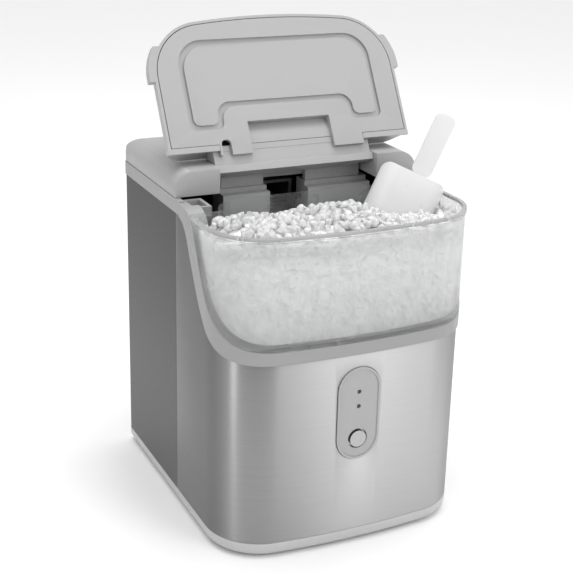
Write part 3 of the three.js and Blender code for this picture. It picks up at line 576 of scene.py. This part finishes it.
# Lid ----------------------------------------------------------------------------
LID_INSET = 0.4
LID_REAR = SEAM_Y - 0.5
TONGUE_LOW, TONGUE_REAR = 297, 10
TAB_OUT, TAB_IN, TAB_HEIGHT, TAB_FRONT, TAB_REAR = 4.5, -1.5, 8, -108, -76
LINER_FACE = COVER_Z + GAP
LINER_THICK, LINER_ROOM, STRIP_HALF = 3.6, 3.9, 70
RIDGE_HALF, RIDGE_LEG, GROOVE_HALF = 91.5, 64, 2.2
RIDGE_REAR, RIDGE_FRONT, RIDGE_MOUTH = SEAM_Y - 22, SEAM_Y - 100, SEAM_Y - 42
GRIP_HALF, GRIP_FRONT = 40, SEAM_Y - 25


def lid_matrix():
    """Turns the lid from closed to open."""
    hinge = Matrix.Translation((0, HINGE_Y, HINGE_Z))
    return hinge @ Matrix.Rotation(math.radians(-LID_OPEN_DEG), 4, "X") @ hinge.inverted()


def lid_shell():
    """A hollow cap with a rear tongue on the hinge and a finger tab on each side."""
    shell = cut(crown(LID_INSET, COVER_Z + GAP, TOP_Z), behind(LID_REAR, FAR))
    hollow = cut(crown(LID_INSET + COVER_WALL, COVER_Z - 5, TOP_Z - COVER_WALL),
                 behind(LID_REAR - 2 * COVER_WALL, FAR))
    front = LID_REAR - 3
    tongue = [(front, TONGUE_LOW), (2, TONGUE_LOW), (4, COVER_Z + 0.5), (TONGUE_REAR, COVER_Z + 0.5),
              (TONGUE_REAR, 309), (HINGE_Y, 313), (4, TOP_Z), (front, TOP_Z)]
    shell = join(cut(shell, hollow), prism(tongue, -TONGUE_HALF, TONGUE_HALF, "x"))
    for side in (-1, 1):
        ring = cut(slab(TAB_OUT, COVER_Z + GAP, COVER_Z + TAB_HEIGHT), slab(TAB_IN))
        tab = common(ring, box(*span(side, 90, 150), TAB_FRONT, TAB_REAR, FAR, 2 * FAR))
        shell = join(shell, tab)
    bore = PIN_RADIUS + GAP
    shell = cut(shell, box(-STRIP_HALF - GAP, STRIP_HALF + GAP, SEAM_Y - 12, SEAM_Y + 4 + GAP,
                           FAR, LINER_FACE + LINER_ROOM),
                hinge_rod(LID_SWEEP, -140, -TONGUE_HALF, 160),
                hinge_rod(LID_SWEEP, TONGUE_HALF, 140, 160),
                hinge_rod(bore, -80, -66), hinge_rod(bore, 66, 80))
    piece(shell, "lid_shell_fine", "lid", "light_plastic", ["lid_shell"], edge=0.6, matrix=lid_matrix())


def ridge_outline(grow):
    """The U-shaped embossed line under the lid."""
    corner, end, elbow = 24, 6, 12
    rear, front, mouth = RIDGE_REAR + grow, RIDGE_FRONT - grow, RIDGE_MOUTH + grow
    side, leg = RIDGE_HALF + grow, RIDGE_LEG - grow
    quarter = math.pi / 2
    points = arc(-side + corner, front + corner, corner, 2 * quarter, 3 * quarter, 14)
    points += arc(side - corner, front + corner, corner, -quarter, 0, 14)
    points += arc(side - end, rear - end, end, 0, quarter, 8)
    points += arc(leg + end, rear - end, end, quarter, 2 * quarter, 8)
    points += arc(leg - elbow, mouth + elbow, elbow - 0.01, 0, -quarter, 8)
    points += arc(-leg + elbow, mouth + elbow, elbow - 0.01, -quarter, -2 * quarter, 8)
    points += arc(-leg - end, rear - end, end, 0, quarter, 8)
    return points + arc(-side + end, rear - end, end, quarter, 2 * quarter, 8)


def lid_liner():
    """The plate that closes the lid from below, with a groove, a grip recess and a slot."""
    face = LINER_FACE
    panel = cut(slab(-LINER_THICK, face, face + LINER_THICK), behind(SEAM_Y - 6, FAR))
    panel = join(panel, box(-STRIP_HALF, STRIP_HALF, SEAM_Y - 8, SEAM_Y + 4, face, face + LINER_THICK),
                 box(-GRIP_HALF - 4, GRIP_HALF + 4, GRIP_FRONT - 4, SEAM_Y - 6, face + 3, face + 10))
    groove = cut(prism(ridge_outline(GROOVE_HALF), face - 1, face + GROOVE_HALF),
                 prism(ridge_outline(-GROOVE_HALF), 0, 2 * FAR))
    top = face + LINER_ROOM
    grip = prism([(GRIP_FRONT, FAR), (20, FAR), (20, top), (SEAM_Y - 13, top), (GRIP_FRONT, face + 8)],
                 -GRIP_HALF, GRIP_HALF, "x")
    slot = prism(rounded_rectangle(-68, -59, SEAM_Y - 10, 20, 4), FAR, 2 * FAR)
    panel = cut(panel, grip, slot, groove)
    piece(panel, "lid_liner_fine", "lid", "light_plastic", ["lid_liner"], edge=0.5, matrix=lid_matrix())


# Bin and scoop -------------------------------------------------------------------
BAY_GAP, RAIL_GAP = GAP + 0.1, 0.4
BULGE_OUT, BULGE_LOW, BULGE_REAR = 1, 180, -50
RIM_HEIGHT, EDGE_HEIGHT, EDGE_REAR = 4, 2.6, -52
BAY_CORNER = 34
SCOOP_WIDTH, SCOOP_LENGTH, SCOOP_DEPTH, SCOOP_FILLET, SCOOP_WALL = 59, 64, 21, 18, 1.8
HANDLE_X, HANDLE_Y, HANDLE_Z, HANDLE_CORNER = (-11.3, 6.3), (-0.8, 56), (5, 10), 6
SCOOP_PLACE = Vector((78.5, -78, 312.7))
SCOOP_ALONG = Vector((0.44, 0, 0.898)).normalized()
SCOOP_ACROSS = SCOOP_ALONG.cross(Vector((0.4, 0.88, -0.196))).normalized()
SCOOP_OPENING = SCOOP_ACROSS.cross(SCOOP_ALONG)


def bay_outline(grow):
    """The narrow part of the bin seen from above."""
    return rounded_rectangle(-BIN_HALF - grow, BIN_HALF + grow, BIN_FRONT - grow, BIN_REAR + grow,
                             BAY_CORNER + grow, 20)


def above_rail(shape, gap):
    """What of a shape lies above the rails' inner edge, a gap away from it."""
    return common(shape, space_above("inner", gap))


def rim_space():
    """The top of the rim from the front to EDGE_REAR, which is drawn as a piece of its own."""
    return above_rail(box(-150, 150, -150, EDGE_REAR, BIN_TOP - EDGE_HEIGHT, BIN_TOP + 5), RAIL_GAP)


def ice_bin():
    """A narrow tub that widens over the rails to the cabinet's outline, with a rim round its front."""
    bulge = above_rail(cut(slab(BULGE_OUT, BULGE_LOW, BIN_TOP), behind(BIN_REAR)), RAIL_GAP)
    outside = join(bulge, prism(bay_outline(-BAY_GAP), BIN_FLOOR, BIN_TOP))
    rim = cut(slab(BIN_LIP, BIN_TOP - RIM_HEIGHT, BIN_TOP), behind(BIN_REAR))
    hollow = cut(slab(BULGE_OUT - BIN_WALL, BULGE_LOW), behind(BULGE_REAR))
    hollow = join(above_rail(hollow, RAIL_GAP + BIN_WALL),
                  prism(bay_outline(-BAY_GAP - BIN_WALL), BIN_FLOOR + BIN_WALL, 2 * FAR))
    whole = cut(join(outside, above_rail(rim, RAIL_GAP)), hollow)
    piece(cut(whole, rim_space()), "ice_bin_fine", "bin", "clear_plastic", ["ice_bin"], edge=0.5)
    edge = cut(slab(BIN_LIP, BIN_TOP - EDGE_HEIGHT, BIN_TOP), slab(BULGE_OUT - BIN_WALL))
    piece(common(edge, rim_space()), "ice_bin_rim", "bin", "clear_plastic", edge=0.6, look="clear_edge")


def scoop_matrix():
    """From the scoop's own axes (across, along the handle, opening) to where it stands."""
    turn = Matrix((SCOOP_ACROSS, SCOOP_ALONG, SCOOP_OPENING)).transposed().to_4x4()
    return Matrix.Translation(SCOOP_PLACE) @ turn


def scoop_tray(inset):
    """The trough that a scoop's outside or inside follows, closed at the rear."""
    half = SCOOP_WIDTH / 2 - inset
    section = rounded_rectangle(-half, half, inset, 80, SCOOP_FILLET - inset, 24)
    plan = rounded_rectangle(-half, half, -SCOOP_LENGTH - 60, -inset, 9 - inset, 16)
    return common(prism(section, -SCOOP_LENGTH - 50, -inset, "y"), prism(plan, -5, 90))


def scoop():
    """A tray with a rear wall, two side walls, an open front and a flat handle."""
    length, depth = SCOOP_LENGTH, SCOOP_DEPTH
    mouth = prism([(-length - 60, -5), (-length - 60, 90), (-length + 16, 90), (-length + 8, depth * 0.6),
                   (-length, 5), (-length, -5)], -60, 60, "x")
    bowl = cut(scoop_tray(0), scoop_tray(SCOOP_WALL), box(-60, 60, -140, 20, depth, 90), mouth)
    handle = prism(rounded_rectangle(*HANDLE_X, *HANDLE_Y, HANDLE_CORNER), *HANDLE_Z)
    piece(join(bowl, handle), "scoop_fine", "scoop", "white_plastic", ["scoop"], edge=0.7,
          matrix=scoop_matrix())


# Ice -----------------------------------------------------------------------------
HEAP_LEVEL, HEAP_LIMIT, SIDE_FALL, REAR_FALL, RIGHT_FALL = 287.4, 287.8, 3, 16, 4
LOOSE_DEPTH = 9
NUGGET_PITCH, NUGGET_WANDER, NUGGET_LAYERS, NUGGET_ROWS, NUGGETS_ACROSS = 6.3, 2, 7, 20, 38
NUGGET_RADII, NUGGET_FLATS = (3.0, 4.7), 8


def heap_height(x, y):
    """Height of the ice surface over a point of the bin: it falls to the sides, rear and right."""
    edge = max(abs(x) - 70, 0) / 40
    back = max(y + 62, 0) / 40
    right = max(x - 25, 0) / 70
    wave = 1.6 * math.sin(x * 0.075 + 1) + 1.4 * math.sin(y * 0.11 + x * 0.04)
    height = HEAP_LEVEL - SIDE_FALL * edge * edge - REAR_FALL * back - RIGHT_FALL * right + wave
    return min(height, HEAP_LIMIT)


def above_heap():
    """Everything above the packed ice: a grid on its surface and a flat one high over it."""
    pitch, across, along, top = 4, 64, 34, 340
    lower, upper = [], []
    for j in range(along + 1):
        for i in range(across + 1):
            x, y = -128 + pitch * i, -140 + pitch * j
            lower.append((x, y, heap_height(x, y) - LOOSE_DEPTH / 2))
            upper.append((x, y, top))
    row, layer = across + 1, len(lower)
    faces = []
    for j in range(along):
        for i in range(across):
            a = j * row + i
            faces.append([a, a + 1, a + row + 1, a + row])
            faces.append([layer + v for v in (a, a + row, a + row + 1, a + 1)])
    for i in range(across):
        for a in (i, along * row + i):
            faces.append([a, a + 1, layer + a + 1, layer + a])
    for j in range(along):
        for a in (j * row, j * row + across):
            faces.append([a, a + row, layer + a + row, layer + a])
    return mesh_object("above_heap", lower + upper, faces)


def ice_core():
    """The packed ice below the loose pieces, with a pocket for the scoop."""
    wall_gap, rail_gap, bay_gap, top = 2.2, 1.5, 1.2, 300
    core = cut(slab(BULGE_OUT - BIN_WALL - wall_gap, BULGE_LOW, top), behind(BULGE_REAR))
    core = join(above_rail(core, RAIL_GAP + BIN_WALL + rail_gap),
                prism(bay_outline(-BAY_GAP - BIN_WALL - bay_gap), BIN_FLOOR + BIN_WALL + 1, top))
    half = SCOOP_WIDTH / 2 + 1.5
    pocket = prism(rounded_rectangle(-half, half, -SCOOP_LENGTH, 4, 9, 6), -2, SCOOP_DEPTH + 2)
    pocket.data.transform(scoop_matrix())
    piece(cut(core, above_heap(), pocket), "ice_packed", "bin", "clear_plastic", edge=0, angle=180,
          look="packed_ice")


def inside(points, x, y):
    """Whether a point lies inside a closed outline."""
    hit = False
    for (xa, ya), (xb, yb) in zip(points, points[1:] + points[:1]):
        if (ya > y) != (yb > y) and x < (xb - xa) * (y - ya) / (yb - ya) + xa:
            hit = not hit
    return hit


def scoop_clear(x, y, z, margin=4.5):
    """Whether a point keeps clear of the scoop's bowl."""
    offset = Vector((x, y, z)) - SCOOP_PLACE
    a, b, c = offset.dot(SCOOP_ACROSS), offset.dot(SCOOP_ALONG), offset.dot(SCOOP_OPENING)
    beside = abs(a) >= SCOOP_WIDTH / 2 + margin
    beyond = b <= -SCOOP_LENGTH - margin or b >= margin
    return beside or beyond or c <= -margin or c >= SCOOP_DEPTH + margin


def unit_ball(level):
    edit = bmesh.new()
    bmesh.ops.create_icosphere(edit, subdivisions=level, radius=1)
    vertices = np.array([v.co[:] for v in edit.verts])
    faces = np.array([[v.index for v in f.verts] for f in edit.faces])
    edit.free()
    return vertices, faces


def nuggets(name, places, level, rng):
    """Rounded, slightly crushed pieces of ice, as one mesh."""
    ball, faces = unit_ball(level)
    all_vertices, all_faces = [], []
    for number, (x, y, z) in enumerate(places):
        radius = rng.uniform(*NUGGET_RADII)
        stretch = np.array([rng.uniform(0.8, 1.2), rng.uniform(0.8, 1.2), rng.uniform(0.75, 1.05)])
        shape = ball * radius * stretch
        for _ in range(NUGGET_FLATS):
            direction = rng.normal(size=3)
            direction /= np.linalg.norm(direction)
            height = shape @ direction
            limit = radius * rng.uniform(0.5, 0.85)
            over = np.clip(height - limit, 0, None)
            shape = shape - np.outer(over * 0.93, direction)
        spin, _ = np.linalg.qr(rng.normal(size=(3, 3)))
        all_vertices.append(shape @ spin.T + (x, y, z))
        all_faces.append(faces + number * len(ball))
    vertices = np.concatenate(all_vertices)
    mesh = bpy.data.meshes.new(name)
    mesh.from_pydata(vertices.tolist(), [], np.concatenate(all_faces).tolist())
    shape = bpy.data.objects.new(name, mesh)
    bpy.context.scene.collection.objects.link(shape)
    return shape


def nugget_places(rng):
    """Points of a loosened grid that lie in the bin, just under the heap and clear of the scoop."""
    pitch, loose = NUGGET_PITCH, NUGGET_WANDER
    wall = cabinet_outline(BULGE_OUT - BIN_WALL - 5.2, corner_steps=10, front_steps=10)
    rail = sorted(side_curve("inner"))
    rail_y, rail_z = [p[0] for p in rail], [p[1] for p in rail]
    places = []
    for k in range(NUGGET_LAYERS):
        for j in range(NUGGET_ROWS):
            for i in range(NUGGETS_ACROSS):
                x = -116 + (i + 0.5 * (j % 2)) * pitch + rng.uniform(-loose, loose)
                y = -131 + j * pitch * 0.9 + rng.uniform(-loose, loose)
                z = 258 + k * pitch * 0.82 + rng.uniform(-loose, loose) + (k % 2) * 2
                if not inside(wall, x, y) or y > BIN_REAR - 9 or not scoop_clear(x, y, z):
                    continue
                in_tub = abs(x) < BIN_HALF - 8 and BIN_FRONT + 8 < y
                if not in_tub and (z < np.interp(y, rail_y, rail_z) + 8 or y > BULGE_REAR - 6):
                    continue
                if 0 < heap_height(x, y) - z < LOOSE_DEPTH:
                    places.append((x, y, z))
    return places


def ice_pieces():
    """Loose nuggets on top of the packed ice."""
    rng = np.random.default_rng(7)
    places = nugget_places(rng)
    piece(nuggets("ice_nuggets", places, 3, rng), "ice_nuggets", "bin", "clear_plastic", edge=0,
          angle=28, look="nugget_ice")


# Scene ----------------------------------------------------------------------------
CAMERA_PLACE = (-0.4659, -0.9617, 0.5873)
CAMERA_YAW, CAMERA_PITCH, CAMERA_ROLL = 0.435, 0.328, 0.021
CAMERA_LENS, CAMERA_SHIFT_X, CAMERA_SHIFT_Y = 77.9, 0.0201, -0.055
ROOM_STRENGTH = 1.22
# Where the room is darker: direction, share of the light lost, and cosine at which the loss begins
DARK_SIDES = (((-0.75, 0.66, 0), 0.55, 0.1), ((0.95, 0.3, 0), 0.5, 0.1), ((-0.5, -0.87, 0), 0.85, 0.55))


def camera():
    data = bpy.data.cameras.new("camera")
    data.lens = CAMERA_LENS
    data.sensor_width = 36
    data.shift_x, data.shift_y = CAMERA_SHIFT_X, CAMERA_SHIFT_Y
    view = bpy.data.objects.new("camera", data)
    bpy.context.scene.collection.objects.link(view)
    ahead = Vector((math.sin(CAMERA_YAW) * math.cos(CAMERA_PITCH),
                    math.cos(CAMERA_YAW) * math.cos(CAMERA_PITCH), -math.sin(CAMERA_PITCH)))
    right = Vector((math.cos(CAMERA_YAW), -math.sin(CAMERA_YAW), 0))
    up = right.cross(ahead)
    x_axis = math.cos(CAMERA_ROLL) * right + math.sin(CAMERA_ROLL) * up
    y_axis = -math.sin(CAMERA_ROLL) * right + math.cos(CAMERA_ROLL) * up
    turn = Matrix((x_axis, y_axis, -ahead)).transposed().to_4x4()
    view.matrix_world = Matrix.Translation(CAMERA_PLACE) @ turn
    bpy.context.scene.camera = view


def light(name, place, aim, size, power):
    """An area light; place and aim in metres, power in watts."""
    data = bpy.data.lights.new(name, "AREA")
    data.shape = "RECTANGLE"
    data.size, data.size_y = size
    data.energy = power
    lamp = bpy.data.objects.new(name, data)
    bpy.context.scene.collection.objects.link(lamp)
    lamp.location = place
    lamp.rotation_euler = (Vector(aim) - Vector(place)).to_track_quat("-Z", "Y").to_euler()


def surroundings():
    """White all round, darker to the left rear, to the right and behind the camera."""
    world = bpy.data.worlds.new("studio")
    bpy.context.scene.world = world
    world.use_nodes = True
    tree = world.node_tree
    direction = tree.nodes.new("ShaderNodeTexCoord")
    room = tree.nodes.new("ShaderNodeValue")
    room.outputs["Value"].default_value = ROOM_STRENGTH
    strength = room.outputs["Value"]
    for toward, loss, start in DARK_SIDES:
        along = tree.nodes.new("ShaderNodeVectorMath")
        along.operation = "DOT_PRODUCT"
        along.inputs[1].default_value = toward
        tree.links.new(direction.outputs["Generated"], along.inputs[0])
        product = tree.nodes.new("ShaderNodeMath")
        product.operation = "MULTIPLY"
        shade = ramp(tree, along.outputs["Value"], start, 0.95, 1, 1 - loss, "SMOOTHSTEP")
        tree.links.new(shade, product.inputs[0])
        tree.links.new(strength, product.inputs[1])
        strength = product.outputs["Value"]
    tree.links.new(strength, tree.nodes["Background"].inputs["Strength"])
    tree.nodes["Background"].inputs["Color"].default_value = (1, 1, 1, 1)


def studio():
    surroundings()
    light("key", (0.75, -1.5, 1.25), (0, 0, 0.15), (0.7, 0.9), 6)
    light("left_strip", (-1.45, -0.58, 0.55), (0, -0.05, 0.17), (0.2, 0.7), 2.6)
    light("top", (0.1, 0.1, 1.9), (0, 0, 0.2), (1.2, 1.2), 15)
    reach = 6.0
    corners = [(-reach, -reach, 0), (reach, -reach, 0), (reach, reach, 0), (-reach, reach, 0)]
    floor = mesh_object("floor", corners, [[0, 1, 2, 3]])
    look = Finish("floor_paper", grey(0.96), 0.9)
    look.tint(look.noise(3), 0.01)
    floor.data.materials.append(look.material)
    bpy.context.scene.view_settings.view_transform = "Standard"


paint_part()
base_tray()
front_wrap()
bezel_frame()
top_cover()
lid_shell()
lid_liner()
ice_bin()
scoop()
ice_core()
ice_pieces()
studio()
camera()
